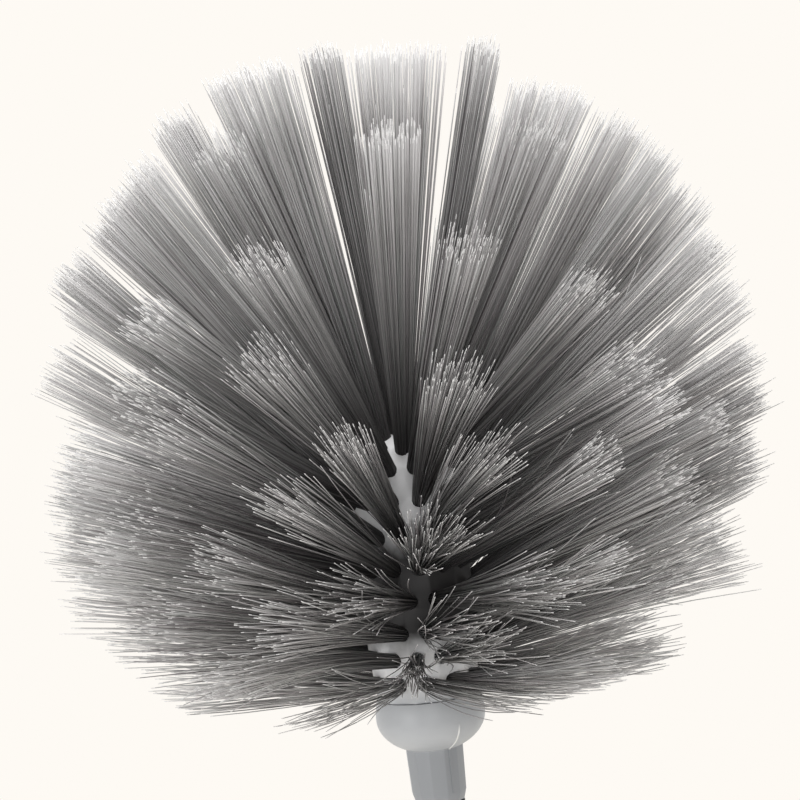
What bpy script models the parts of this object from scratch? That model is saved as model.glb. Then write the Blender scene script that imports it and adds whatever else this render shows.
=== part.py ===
"""Dome cobweb broom on a three-section telescopic pole, standing upright with the pole pushed in.

Metres, +Z up. The origin is the centre of the flat bottom of the end cap, on the axis of the pole.
"""

import math

import bmesh
import bpy
from mathutils import Matrix, Vector

# Clearances shared by all pieces
seat_gap = 0.0003
slide_gap = 0.0003
turn_gap = 0.0004
overrun = 0.002
merge_distance = 0.00001

# Tubes of the pole
outer_tube_radius = 0.0110
tube_wall = 0.0009
tube_play = 0.0006
outer_tube_length = 0.400
inner_tube_exposed = 0.014
middle_tube_radius = outer_tube_radius - tube_wall - tube_play
inner_tube_radius = middle_tube_radius - tube_wall - tube_play
outer_bore_radius = outer_tube_radius - tube_wall
middle_bore_radius = middle_tube_radius - tube_wall
inner_bore_radius = inner_tube_radius - tube_wall

# End cap
cap_radius = 0.0130
cap_foot_radius = 0.0100
cap_height = 0.026
cap_rounding = 0.004
cap_spigot_length = 0.020
hang_hole_radius = 0.0036
hang_hole_height = 0.0120

# Stop bushes
bush_rest_gap = 0.004
bush_bore_radius = 0.0045
bush_plug_length = 0.012
middle_bush_length = 0.030
inner_bush_length = 0.024

# Locks between two tubes
sleeve_wall = 0.0022
sleeve_depth = 0.028
shoulder_height = 0.003
finger_length = 0.016
finger_wall = 0.0008
finger_taper = 0.0010
finger_slot_width = 0.0014
finger_count = 4
snap_groove_depth = 0.0008
snap_groove_height = 0.0030
snap_groove_drop = 0.006
collar_wall = 0.0024
collar_lip_height = 0.0026
collar_rounding = 0.0012
collar_flute_radius = 0.0022
collar_flute_depth = 0.0008
collar_flute_count = 10
wedge_height = 0.0100
wedge_travel = 0.0012
lock_spacing = 0.0005

# Grip sleeve
grip_wall = 0.0035
grip_length = 0.130
grip_offset = 0.004
grip_rib_count = 6
grip_groove_depth = 0.0009
grip_groove_height = 0.004
grip_rounding = 0.0015

# Pole tip and its rivet
tip_shoulder_height = 0.010
tip_shoulder_radius = 0.0095
tip_chamfer = 0.001
tip_spigot_length = 0.024
tip_stud_length = 0.020
rivet_radius = 0.0015
rivet_head_radius = 0.0026
rivet_head_height = 0.0007
rivet_drop = 0.008

# Collar and twelve-sided neck
facet_count = 12
facet_turn = math.radians(14)
neck_turn = math.radians(18)
neck_length = 0.0335
neck_sunk = 0.008
neck_top_radius = 0.0114
neck_foot_radius = 0.0107
neck_chamfer = 0.0012
neck_chamfer_height = 0.0040
ball_radius = 0.0210
ball_depth = 0.0143
ball_rise = 0.0078
ball_upper_depth = 0.0240
ball_arc_steps = 8
ball_upper_steps = 3
socket_wall = 0.0016
socket_floor = 0.0045
screw_radius = 0.0020
screw_head_radius = 0.0042
screw_head_height = 0.0026
screw_length = 0.017
washer_radius = 0.0060
washer_height = 0.0010
screw_boss_radius = 0.0052
screw_boss_length = 0.0120

# Core of the head
core_height = 0.1093
core_radius = 0.0221
core_bore_radius = 0.0120
core_floor = 0.0050
crown_seat_depth = 0.0050
crown_plug_depth = 0.0030
row_height_shares = (0.140, 0.230, 0.322, 0.434, 0.546, 0.658, 0.780, 0.892)
row_radius_shares = (0.930, 0.962, 0.986, 1.000, 1.000, 0.986, 0.945, 0.855)
crown_height_shares = (0.959, 0.990)
crown_radius_shares = (0.620, 0.320)

# Tufts, from the lowest row up, then the two rings and the middle tuft of the crown
tuft_length = 0.148
row_tuft_counts = (12, 14, 14, 14, 14, 14, 12, 12)
row_tilts = tuple(math.radians(tilt) for tilt in (84.5, 78, 74.5, 71.5, 69.5, 66.5, 62, 51.5))
row_length_shares = (0.514, 0.669, 0.757, 0.804, 0.828, 0.851, 0.865, 0.920)
row_turn_shares = (0.5, 0.667, 0.17, 0.667, 0.17, 0.605, 0.0, 0.0)
crown_tuft_counts = (10, 5)
crown_tilts = (math.radians(36.2), math.radians(16))
crown_turn_shares = (0.194, 0.792)
crown_length_shares = (0.951, 0.990)
strands_per_tuft = 4
strand_root_radius = 0.0011
strand_tip_radius = 0.0008
tuft_root_radius = 0.0019
tuft_spread = math.radians(4.5)
strand_root_depth = 0.0020

# Heights that follow
outer_tube_foot = cap_height + seat_gap
outer_tube_top = outer_tube_foot + outer_tube_length
middle_bush_foot = cap_height + cap_spigot_length + bush_rest_gap
middle_tube_foot = middle_bush_foot + middle_bush_length + seat_gap
lock_collar_rise = seat_gap + shoulder_height + finger_length + wedge_travel + turn_gap + collar_lip_height
lower_collar_top = outer_tube_top + lock_collar_rise
middle_tube_top = lower_collar_top + lock_spacing + sleeve_depth
inner_bush_foot = middle_bush_foot + middle_bush_length + bush_plug_length + bush_rest_gap
inner_tube_foot = inner_bush_foot + inner_bush_length + seat_gap
upper_collar_top = middle_tube_top + lock_collar_rise
inner_tube_top = upper_collar_top + inner_tube_exposed
tip_shoulder_foot = inner_tube_top + seat_gap
neck_foot = tip_shoulder_foot + tip_shoulder_height + seat_gap
head_height = neck_foot + neck_length

# Radii that follow
socket_radius = neck_foot_radius * math.cos(math.pi / facet_count) - socket_wall
tip_stud_radius = socket_radius - seat_gap
tip_spigot_radius = inner_bore_radius - seat_gap

# Counts
last_row = len(row_height_shares) - 1
tube_sides = 24
small_sides = 16
ball_sides = 36


def clear_scene():
    for leftover in list(bpy.data.objects):
        bpy.data.objects.remove(leftover, do_unlink=True)


def make_collection(name):
    collection = bpy.data.collections.new(name)
    bpy.context.scene.collection.children.link(collection)
    return collection


def make_material(name, colour, roughness, metallic=0.0):
    material = bpy.data.materials.new(name)
    material.use_nodes = True
    shader = material.node_tree.nodes["Principled BSDF"]
    shader.inputs["Base Color"].default_value = (*colour, 1.0)
    shader.inputs["Roughness"].default_value = roughness
    shader.inputs["Metallic"].default_value = metallic
    return material


def make_stage(name, height, parent=None):
    """An empty on the pole's axis that carries the pieces of one section."""
    stage = bpy.data.objects.new(name, None)
    parts.objects.link(stage)
    stage.location.z = height
    if parent:
        stage.parent = parent
        stage.location.z = height - parent.matrix_world.translation.z
    bpy.context.view_layer.update()
    return stage


def make_piece(name, mesh, material, stage, height=0.0):
    """Adds a sub-part whose own base lies at a height above its stage."""
    mesh.materials.append(material)
    piece = bpy.data.objects.new(name, mesh)
    parts.objects.link(piece)
    piece.parent = stage
    piece.location.z = height
    return piece


def make_cutter(name, mesh, stage, height=0.0):
    cutter = bpy.data.objects.new(name, mesh)
    cutters.objects.link(cutter)
    cutter.parent = stage
    cutter.location.z = height
    cutter.hide_render = True
    cutter.display_type = "WIRE"
    return cutter


def outline_mesh(name, outline):
    """Edges through (radius, height) points, down the outer side and back up the inner one."""
    mesh = bpy.data.meshes.new(name)
    shape = bmesh.new()
    corners = [shape.verts.new((radius, 0, height)) for radius, height in outline]
    for start, end in zip(corners, corners[1:]):
        shape.edges.new((start, end))
    if outline[0][0] > 0:
        shape.edges.new((corners[-1], corners[0]))
    shape.to_mesh(mesh)
    shape.free()
    return mesh


def turn_about_axis(piece, sides):
    screw = piece.modifiers.new("Turned", "SCREW")
    screw.axis = "Z"
    screw.steps = sides
    screw.render_steps = sides
    screw.use_merge_vertices = True
    screw.merge_threshold = merge_distance
    screw.use_smooth_shade = True
    return piece


def turned_piece(name, outline, sides, material, stage, height=0.0):
    return turn_about_axis(make_piece(name, outline_mesh(name, outline), material, stage, height), sides)


def turned_cutter(name, outline, sides, stage, height=0.0):
    return turn_about_axis(make_cutter(name, outline_mesh(name, outline), stage, height), sides)


def rod_mesh(name, radius, length, sides, places):
    """One mesh of equal rods, each centred by a matrix."""
    mesh = bpy.data.meshes.new(name)
    shape = bmesh.new()
    for place in places:
        bmesh.ops.create_cone(
            shape, cap_ends=True, segments=sides, radius1=radius, radius2=radius, depth=length, matrix=place
        )
    shape.to_mesh(mesh)
    shape.free()
    return mesh


def box_mesh(name, size, place):
    mesh = bpy.data.meshes.new(name)
    shape = bmesh.new()
    bmesh.ops.create_cube(shape, size=1, matrix=place @ Matrix.Diagonal((*size, 1)))
    shape.to_mesh(mesh)
    shape.free()
    return mesh


def combine(piece, other, operation):
    boolean = piece.modifiers.new(operation.title(), "BOOLEAN")
    boolean.operation = operation
    boolean.solver = "EXACT"
    boolean.object = other
    return piece


def tube_outline(radius, bore, length):
    return [(radius, length), (radius, 0), (bore, 0), (bore, length)]


def arc(radius_across, radius_up, start, end, steps):
    """Points of an elliptic arc in the (radius, height) plane, from one angle to another."""
    angles = [start + (end - start) * step / steps for step in range(steps + 1)]
    return [(radius_across * math.cos(angle), radius_up * math.sin(angle)) for angle in angles]


def make_end_cap():
    spigot_radius = outer_bore_radius - seat_gap
    rounding = [
        (cap_radius - cap_rounding + across, cap_height - cap_rounding + up)
        for across, up in arc(cap_rounding, cap_rounding, math.pi / 2, 0, small_sides // 4)
    ]
    outline = [(0, cap_height + cap_spigot_length), (spigot_radius, cap_height + cap_spigot_length)]
    outline += [(spigot_radius, cap_height)]
    outline += rounding
    outline += [(cap_radius, cap_rounding), (cap_foot_radius, 0), (0, 0)]
    cap = turned_piece("end_cap", outline, tube_sides, dark_plastic, outer_stage)
    across = Matrix.Translation((0, 0, hang_hole_height)) @ Matrix.Rotation(math.pi / 2, 4, "X")
    hole = rod_mesh("hang_hole", hang_hole_radius, 2 * (cap_radius + overrun), small_sides, [across])
    return combine(cap, make_cutter("hang_hole", hole, outer_stage), "DIFFERENCE")


def make_outer_tube():
    outline = tube_outline(outer_tube_radius, outer_bore_radius, outer_tube_length)
    return turned_piece("outer_tube", outline, tube_sides, painted_tube, outer_stage, outer_tube_foot)


def make_middle_tube():
    length = middle_tube_top - middle_tube_foot
    outline = tube_outline(middle_tube_radius, middle_bore_radius, length)
    return turned_piece("middle_tube", outline, tube_sides, bright_tube, middle_stage)


def make_inner_tube():
    length = inner_tube_top - inner_tube_foot
    outline = tube_outline(inner_tube_radius, inner_bore_radius, length)
    tube = turned_piece("inner_tube", outline, tube_sides, bright_tube, inner_stage)
    return combine(tube, rivet_hole("tube_rivet_hole"), "DIFFERENCE")


def make_stop_bush(name, guide_bore, plug_bore, length, stage):
    """A flanged plug under a tube, as wide as the tube that it slides in."""
    guide_radius = guide_bore - slide_gap
    plug_radius = plug_bore - seat_gap
    outline = [
        (plug_radius, bush_plug_length),
        (plug_radius, -seat_gap),
        (guide_radius, -seat_gap),
        (guide_radius, -seat_gap - length),
        (bush_bore_radius, -seat_gap - length),
        (bush_bore_radius, bush_plug_length),
    ]
    return turned_piece(name, outline, tube_sides, dark_plastic, stage)


def make_grip():
    inner = outer_tube_radius + seat_gap
    outer = inner + grip_wall
    pitch = grip_length / (grip_rib_count + 1)
    outline = [(outer - grip_rounding, grip_length), (outer, grip_length - grip_rounding)]
    for groove in range(grip_rib_count, 0, -1):
        middle = groove * pitch
        outline += [
            (outer, middle + grip_groove_height / 2),
            (outer - grip_groove_depth, middle),
            (outer, middle - grip_groove_height / 2),
        ]
    outline += [(outer, grip_rounding), (outer - grip_rounding, 0), (inner, 0), (inner, grip_length)]
    foot = outer_tube_foot + grip_offset
    return turned_piece("grip_sleeve", outline, tube_sides, soft_grip, outer_stage, foot)


def lock_radii(carrier_radius, tube_radius):
    """Outer radius of the lock body, and the inner and outer radii of its collet fingers."""
    body = carrier_radius + seat_gap + sleeve_wall
    finger_inner = tube_radius + slide_gap
    return body, finger_inner, finger_inner + finger_wall


def make_lock_body(name, carrier_radius, tube_radius, stage, height):
    """Sleeve over the carrier tube's end, a shoulder on top of it and slotted fingers round the sliding tube."""
    body, finger_inner, finger_outer = lock_radii(carrier_radius, tube_radius)
    shoulder = seat_gap + shoulder_height
    groove = body - snap_groove_depth
    outline = [
        (finger_outer, shoulder + finger_length),
        (finger_outer + finger_taper, shoulder),
        (body, shoulder),
        (body, -snap_groove_drop),
        (groove, -snap_groove_drop),
        (groove, -snap_groove_drop - snap_groove_height),
        (body, -snap_groove_drop - snap_groove_height),
        (body, -sleeve_depth),
        (carrier_radius + seat_gap, -sleeve_depth),
        (carrier_radius + seat_gap, seat_gap),
        (finger_inner, seat_gap),
        (finger_inner, shoulder + finger_length),
    ]
    lock = turned_piece(name, outline, tube_sides, dark_plastic, stage, height)
    slot_size = (2 * body + overrun, finger_slot_width, finger_length)
    middle = Matrix.Translation((0, 0, shoulder + (finger_length + overrun) / 2))
    for slot in range(finger_count // 2):
        turn = Matrix.Rotation(2 * math.pi * slot / finger_count, 4, "Z")
        slot_mesh = box_mesh(name + "_slot", slot_size, turn @ middle)
        combine(lock, make_cutter(f"{name}_slot_{slot}", slot_mesh, stage, height), "DIFFERENCE")
    return lock


def make_twist_collar(name, carrier_radius, tube_radius, stage, height):
    """Fluted collar that snaps into the lock body's groove and encloses its fingers."""
    body = lock_radii(carrier_radius, tube_radius)[0]
    bore = body + turn_gap
    outer = bore + collar_wall
    groove = body - snap_groove_depth
    foot = -snap_groove_drop - snap_groove_height + turn_gap
    top = lock_collar_rise
    mouth = tube_radius + 2 * slide_gap
    outline = [
        (outer - collar_rounding, top),
        (outer, top - collar_rounding),
        (outer, foot + collar_rounding),
        (outer - collar_rounding, foot),
        (groove + turn_gap, foot),
        (groove + turn_gap, -snap_groove_drop - turn_gap),
        (bore, -snap_groove_drop - turn_gap),
        (bore, top - collar_lip_height),
        (mouth, top - collar_lip_height),
        (mouth, top),
    ]
    collar = turned_piece(name, outline, tube_sides, pale_plastic, stage, height)
    reach = outer - collar_flute_depth + collar_flute_radius
    middle = Matrix.Translation((reach, 0, (top + foot) / 2))
    turns = [2 * math.pi * (flute + 0.5) / collar_flute_count for flute in range(collar_flute_count)]
    places = [Matrix.Rotation(turn, 4, "Z") @ middle for turn in turns]
    flutes = rod_mesh(name + "_flutes", collar_flute_radius, top - foot + overrun, small_sides // 2, places)
    return combine(collar, make_cutter(name + "_flutes", flutes, stage, height), "DIFFERENCE")


def make_wedge_ring(name, carrier_radius, tube_radius, stage, height):
    """Ring that slides on the fingers' taper inside the collar and squeezes them on the tube."""
    body, finger_inner, finger_outer = lock_radii(carrier_radius, tube_radius)
    foot = seat_gap + shoulder_height + seat_gap
    slope = finger_taper / finger_length
    inner_foot = finger_outer + finger_taper - seat_gap * slope + seat_gap
    inner_top = inner_foot - wedge_height * slope
    outline = [
        (body, foot + wedge_height),
        (body, foot),
        (inner_foot, foot),
        (inner_top, foot + wedge_height),
    ]
    return turned_piece(name, outline, tube_sides, white_plastic, stage, height)


def rivet_place():
    """Centre of the cross rivet, on the inner section, lying along X."""
    height = inner_tube_top - inner_tube_foot - rivet_drop
    return Matrix.Translation((0, 0, height)) @ Matrix.Rotation(math.pi / 2, 4, "Y")


def rivet_hole(name):
    length = 2 * (inner_tube_radius + overrun)
    hole = rod_mesh(name, rivet_radius + seat_gap, length, small_sides, [rivet_place()])
    return make_cutter(name, hole, inner_stage)


def make_pole_tip():
    """Stud for the head's socket, a shoulder under the neck and a spigot inside the inner tube."""
    shoulder_foot = tip_shoulder_foot - inner_tube_foot
    shoulder_top = shoulder_foot + tip_shoulder_height
    outline = [
        (0, shoulder_top + tip_stud_length),
        (tip_stud_radius - tip_chamfer, shoulder_top + tip_stud_length),
        (tip_stud_radius, shoulder_top + tip_stud_length - tip_chamfer),
        (tip_stud_radius, shoulder_top),
        (tip_shoulder_radius - tip_chamfer, shoulder_top),
        (tip_shoulder_radius, shoulder_top - tip_chamfer),
        (tip_shoulder_radius, shoulder_foot + tip_chamfer),
        (tip_shoulder_radius - tip_chamfer, shoulder_foot),
        (tip_spigot_radius, shoulder_foot),
        (tip_spigot_radius, shoulder_foot - tip_spigot_length),
        (0, shoulder_foot - tip_spigot_length),
    ]
    tip = turned_piece("pole_tip", outline, tube_sides, dark_plastic, inner_stage)
    return combine(tip, rivet_hole("tip_rivet_hole"), "DIFFERENCE")


def make_rivet():
    half = inner_tube_radius + seat_gap
    outline = [
        (0, half + rivet_head_height),
        (rivet_radius, half + rivet_head_height),
        (rivet_head_radius, half),
        (rivet_radius, half),
        (rivet_radius, -half),
        (rivet_head_radius, -half),
        (rivet_radius, -half - rivet_head_height),
        (0, -half - rivet_head_height),
    ]
    rivet = turned_piece("tip_rivet", outline, small_sides, steel, inner_stage)
    rivet.location = rivet_place().translation
    rivet.rotation_euler.y = math.pi / 2
    return rivet


def rim_angle():
    """Angle on the upper curve of the collar at which its flat top starts."""
    return math.asin(ball_rise / ball_upper_depth)


def make_collar_neck():
    """Ball-shaped collar and twelve-sided neck in one piece, with the socket for the pole tip."""
    upper = arc(ball_radius, ball_upper_depth, rim_angle(), 0, ball_upper_steps)
    lower = arc(ball_radius, ball_depth, 0, -math.pi / 2, ball_arc_steps)
    outline = [(0, ball_rise)] + upper[:-1] + lower[:-1] + [(0, -ball_depth)]
    collar = turned_piece("collar_neck", outline, ball_sides, pale_plastic, head_stage)
    neck_outline = [
        (0, -neck_sunk),
        (neck_top_radius, -neck_sunk),
        (neck_foot_radius, -neck_length + neck_chamfer_height),
        (neck_foot_radius - neck_chamfer, -neck_length),
        (0, -neck_length),
    ]
    neck = turned_cutter("neck_form", neck_outline, facet_count, head_stage)
    neck.rotation_euler.z = neck_turn
    socket_outline = [
        (0, ball_rise - socket_floor),
        (socket_radius, ball_rise - socket_floor),
        (socket_radius, -neck_length - overrun),
        (0, -neck_length - overrun),
    ]
    socket = turned_cutter("socket_bore", socket_outline, tube_sides, head_stage)
    hole_outline = [
        (0, ball_rise + overrun),
        (screw_radius + seat_gap, ball_rise + overrun),
        (screw_radius + seat_gap, ball_rise - socket_floor - overrun),
        (0, ball_rise - socket_floor - overrun),
    ]
    hole = turned_cutter("screw_hole", hole_outline, small_sides, head_stage)
    combine(collar, neck, "UNION")
    combine(collar, socket, "DIFFERENCE")
    return combine(collar, hole, "DIFFERENCE")


def make_head_screw():
    washer_foot = ball_rise - socket_floor - seat_gap - washer_height
    washer_outline = [
        (washer_radius, washer_foot + washer_height),
        (washer_radius, washer_foot),
        (screw_radius + seat_gap, washer_foot),
        (screw_radius + seat_gap, washer_foot + washer_height),
    ]
    turned_piece("screw_washer", washer_outline, small_sides, steel, head_stage)
    head_top = washer_foot - seat_gap
    outline = [
        (0, head_top + screw_length),
        (screw_radius, head_top + screw_length - screw_radius),
        (screw_radius, head_top),
        (screw_head_radius, head_top),
        (screw_head_radius, head_top - screw_head_height / 2),
        (screw_radius, head_top - screw_head_height),
        (0, head_top - screw_head_height),
    ]
    return turned_piece("head_screw", outline, small_sides, steel, head_stage)


def tuft_frames(count, turn, radius, height, tilt):
    """Root and three directions of each tuft in a ring: outwards, sideways and across both."""
    frames = []
    for tuft in range(count):
        angle = turn + 2 * math.pi * tuft / count
        around = Vector((math.cos(angle), math.sin(angle), 0))
        out = around * math.sin(tilt) + Vector((0, 0, math.cos(tilt)))
        side = Vector((-math.sin(angle), math.cos(angle), 0))
        frames.append((around * radius + Vector((0, 0, height)), out, side, out.cross(side)))
    return frames


def add_tuft(shape, frame, length):
    """Strands that spread from one root, each a slim tapered bar of three sides."""
    root, out, side, across = frame
    for strand in range(strands_per_tuft):
        angle = 2 * math.pi * (strand + 0.5) / strands_per_tuft
        spread = side * math.cos(angle) + across * math.sin(angle)
        lean = (out + spread * math.tan(tuft_spread)).normalized()
        start = root - out * strand_root_depth + spread * tuft_root_radius
        bar = length + strand_root_depth
        turn = Vector((0, 0, 1)).rotation_difference(lean).to_matrix().to_4x4()
        bmesh.ops.create_cone(
            shape,
            cap_ends=True,
            segments=3,
            radius1=strand_root_radius,
            radius2=strand_tip_radius,
            depth=bar,
            matrix=Matrix.Translation(start + lean * bar / 2) @ turn,
        )


def make_strands(name, rings):
    """All the strands of one slice, as one mesh that the slice takes in."""
    mesh = bpy.data.meshes.new(name)
    shape = bmesh.new()
    for frames, length in rings:
        for frame in frames:
            add_tuft(shape, frame, length)
    shape.to_mesh(mesh)
    shape.free()
    return make_cutter(name, mesh, head_stage)


def core_points():
    """Radius and height of each ring of facet corners, from the collar to the top of the crown."""
    points = [(ball_radius * math.cos(rim_angle()), ball_rise)]
    points += [
        (core_radius * radius_share, core_height * height_share)
        for radius_share, height_share in zip(row_radius_shares, row_height_shares)
    ]
    points += [
        (core_radius * radius_share, core_height * height_share)
        for radius_share, height_share in zip(crown_radius_shares, crown_height_shares)
    ]
    return points + [(0, core_height)]


def halfway(start, end):
    return ((start[0] + end[0]) / 2, (start[1] + end[1]) / 2)


def crown_seam():
    """The two ends of the sloped seam between the top row's slice and the crown."""
    points = core_points()
    row, ring = points[len(row_height_shares)], points[len(row_height_shares) + 1]
    outer = halfway(row, ring)
    slope = Vector((ring[1] - row[1], row[0] - ring[0])).normalized()
    inner = (outer[0] - slope.x * crown_seat_depth, outer[1] - slope.y * crown_seat_depth)
    return outer, inner


def lowest_inside(foot):
    """Inner side of the lowest slice: the screw's hole and boss, the floor and the foot of the bore."""
    hole = screw_radius + seat_gap
    return [
        (hole, foot),
        (hole, foot + screw_boss_length),
        (screw_boss_radius, foot + screw_boss_length),
        (screw_boss_radius, foot + core_floor),
        (core_bore_radius, foot + core_floor),
    ]


def slice_outline(row):
    """One slice of the core, from halfway to the ring below to halfway to the ring above."""
    below, here, above = core_points()[row : row + 3]
    foot = halfway(below, here)
    inside = [(core_bore_radius, foot[1])]
    if row == 0:
        foot = (below[0], below[1] + seat_gap)
        inside = lowest_inside(foot[1])
    seam = crown_seam() if row == last_row else [halfway(here, above)]
    top = [(radius, height - seat_gap) for radius, height in seam]
    return [top[0], here, foot] + inside + [(core_bore_radius, top[-1][1])] + top[:0:-1]


def make_row(row):
    """One slice of the core with its row of tufts."""
    name = f"tuft_row_{row + 1}"
    core_slice = turned_piece(name, slice_outline(row), facet_count, filament, head_stage)
    core_slice.rotation_euler.z = facet_turn
    radius, height = core_points()[row + 1]
    count = row_tuft_counts[row]
    turn = facet_turn + 2 * math.pi * row_turn_shares[row] / count
    frames = tuft_frames(count, turn, radius * math.cos(math.pi / facet_count), height, row_tilts[row])
    strands = make_strands(name + "_strands", [(frames, tuft_length * row_length_shares[row])])
    return combine(core_slice, strands, "UNION")


def make_crown():
    """Domed top of the core with two rings of tufts and one tuft in the middle."""
    lower_ring, upper_ring, top = core_points()[-3:]
    outer, inner = crown_seam()
    plug = core_bore_radius - seat_gap
    plug_foot = inner[1] - crown_plug_depth
    outline = [top, upper_ring, lower_ring, outer, inner, (plug, inner[1]), (plug, plug_foot), (0, plug_foot)]
    crown = turned_piece("crown_tufts", outline, facet_count, filament, head_stage)
    crown.rotation_euler.z = facet_turn
    rings = [(tuft_frames(1, facet_turn, 0, top[1], 0), tuft_length)]
    for ring, (radius, height) in enumerate((lower_ring, upper_ring)):
        count = crown_tuft_counts[ring]
        turn = facet_turn + 2 * math.pi * crown_turn_shares[ring] / count
        frames = tuft_frames(count, turn, radius, height, crown_tilts[ring])
        rings.append((frames, tuft_length * crown_length_shares[ring]))
    return combine(crown, make_strands("crown_strands", rings), "UNION")


clear_scene()
parts = make_collection("dome_broom")
cutters = make_collection("cutters")

pale_plastic = make_material("pale_plastic", (0.60, 0.61, 0.62), 0.42)
white_plastic = make_material("white_plastic", (0.78, 0.78, 0.76), 0.40)
dark_plastic = make_material("dark_plastic", (0.16, 0.17, 0.18), 0.50)
filament = make_material("filament", (0.36, 0.36, 0.37), 0.45)
soft_grip = make_material("soft_grip", (0.10, 0.10, 0.11), 0.85)
painted_tube = make_material("painted_tube", (0.55, 0.56, 0.58), 0.30, 0.7)
bright_tube = make_material("bright_tube", (0.72, 0.73, 0.75), 0.25, 1.0)
steel = make_material("steel", (0.62, 0.62, 0.63), 0.30, 1.0)

outer_stage = make_stage("outer_stage", 0.0)
middle_stage = make_stage("middle_stage", middle_tube_foot, outer_stage)
inner_stage = make_stage("inner_stage", inner_tube_foot, middle_stage)
head_stage = make_stage("head_stage", head_height, inner_stage)

make_end_cap()
make_outer_tube()
make_grip()
make_lock_body("lower_lock_body", outer_tube_radius, middle_tube_radius, outer_stage, outer_tube_top)
make_wedge_ring("lower_wedge_ring", outer_tube_radius, middle_tube_radius, outer_stage, outer_tube_top)
make_twist_collar("lower_twist_collar", outer_tube_radius, middle_tube_radius, outer_stage, outer_tube_top)

middle_length = middle_tube_top - middle_tube_foot
make_middle_tube()
make_stop_bush("middle_stop_bush", outer_bore_radius, middle_bore_radius, middle_bush_length, middle_stage)
make_lock_body("upper_lock_body", middle_tube_radius, inner_tube_radius, middle_stage, middle_length)
make_wedge_ring("upper_wedge_ring", middle_tube_radius, inner_tube_radius, middle_stage, middle_length)
make_twist_collar("upper_twist_collar", middle_tube_radius, inner_tube_radius, middle_stage, middle_length)

make_inner_tube()
make_stop_bush("inner_stop_bush", middle_bore_radius, inner_bore_radius, inner_bush_length, inner_stage)
make_pole_tip()
make_rivet()

make_collar_neck()
make_head_screw()
for row_index in range(len(row_height_shares)):
    make_row(row_index)
make_crown()
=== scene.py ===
"""Looks of a dome cobweb broom: a ball of grey filaments on a telescopic pole.

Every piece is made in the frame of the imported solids, in metres, with +Z along the pole.
"""

from functools import cache
from math import asin, atan2, cos, degrees, exp, pi, radians, sin, sqrt, tan

import bpy
import numpy as np
from mathutils import Matrix, Vector


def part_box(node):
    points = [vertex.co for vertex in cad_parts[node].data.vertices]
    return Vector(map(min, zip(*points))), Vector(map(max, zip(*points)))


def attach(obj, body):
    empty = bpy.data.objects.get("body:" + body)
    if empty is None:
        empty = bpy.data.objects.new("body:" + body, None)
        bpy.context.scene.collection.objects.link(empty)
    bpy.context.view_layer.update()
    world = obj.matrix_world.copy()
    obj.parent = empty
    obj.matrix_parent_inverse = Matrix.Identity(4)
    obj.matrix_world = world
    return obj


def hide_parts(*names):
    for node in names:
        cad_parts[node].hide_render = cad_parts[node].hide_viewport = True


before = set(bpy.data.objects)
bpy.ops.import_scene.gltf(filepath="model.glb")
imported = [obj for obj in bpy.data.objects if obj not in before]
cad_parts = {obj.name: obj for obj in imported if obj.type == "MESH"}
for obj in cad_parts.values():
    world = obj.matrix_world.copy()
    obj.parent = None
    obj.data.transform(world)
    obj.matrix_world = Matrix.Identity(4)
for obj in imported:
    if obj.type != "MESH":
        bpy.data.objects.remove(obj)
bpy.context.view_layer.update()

bl_info = {
    "name": "Dome cobweb broom",
    "version": (1, 0, 0),
    "blender": (4, 5, 0),
    "location": "View3D > Sidebar > Broom",
    "description": "Makes the filaments, mouldings, tubes and grip of a cobweb broom round its solids",
    "category": "Object",
}

# Sizes shared with the solids
seat_gap = 0.0003
slide_gap = 0.0003
turn_gap = 0.0004
outer_tube_radius = 0.011
middle_tube_radius = 0.0095
inner_tube_radius = 0.008
tube_wall = 0.0009

# Locks, grip, cap and tip of the pole
sleeve_wall = 0.0022
sleeve_depth = 0.028
sleeve_chamfer = 0.0009
sleeve_chamfer_height = 0.0012
shoulder_height = 0.003
finger_length = 0.016
finger_wall = 0.0008
finger_taper = 0.001
slot_width = 0.0014
slot_lift = 0.0005
snap_groove_depth = 0.0008
snap_groove_height = 0.003
snap_groove_drop = 0.006
collar_wall = 0.0024
collar_rounding = 0.0016
collar_lip_height = 0.0026
flute_radius = 0.0022
flute_depth = 0.0008
flute_count = 10
grip_wall = 0.0035
groove_count = 6
groove_depth = 0.0009
groove_height = 0.004
groove_steps = 8
grip_rounding = 0.0015
cap_radius = 0.013
cap_foot_radius = 0.01
cap_height = 0.026
cap_rounding = 0.004
hang_hole_radius = 0.0036
hang_hole_height = 0.012
spigot_length = 0.024
stud_height = 0.034
stud_chamfer = 0.001
waist_radius = 0.0095
rivet_radius = 0.0015
rivet_head_radius = 0.0026
rivet_dome = 0.0009
rivet_drop = 0.008
rivet_lift = 0.0001
cutter_length = 0.04
cutter_overrun = 0.002

# Collar and core of the head, from the widest plane of the collar
ball_radius = 0.021
ball_depth = 0.0143
ball_rise = 0.0078
ball_upper_depth = 0.024
neck_length = 0.0335
neck_chamfer = 0.0012
neck_chamfer_height = 0.004
neck_overlap = 0.008
neck_wall = 0.0016
socket_roof = 0.0005
# Where the neck's painted shade starts, below the widest plane of the collar
painted_shade_depth = 0.0121
ridge_turn = radians(60)
ridge_height = 0.0003
ridge_width = 0.0004
ridge_inner_radius = 0.0095
ridge_step = 0.001
neck_top_radius = 0.0114
neck_foot_radius = 0.0107
neck_turn = radians(18)
facet_turn = radians(14)
facet_count = 12
core_height = 0.1093
core_radius = 0.0221
core_bore = 0.012
core_lift = 0.00005
core_roof = 0.0062
core_floor = 0.005
screw_hole_radius = 0.0023
hole_length = 0.0085
hole_lift = 0.0015
ring_height_shares = (0.14, 0.23, 0.322, 0.434, 0.546, 0.658, 0.78, 0.892, 0.959, 0.99, 1.0)
ring_radius_shares = (0.93, 0.962, 0.986, 1.0, 1.0, 0.986, 0.945, 0.855, 0.62, 0.32, 0.0)

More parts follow.
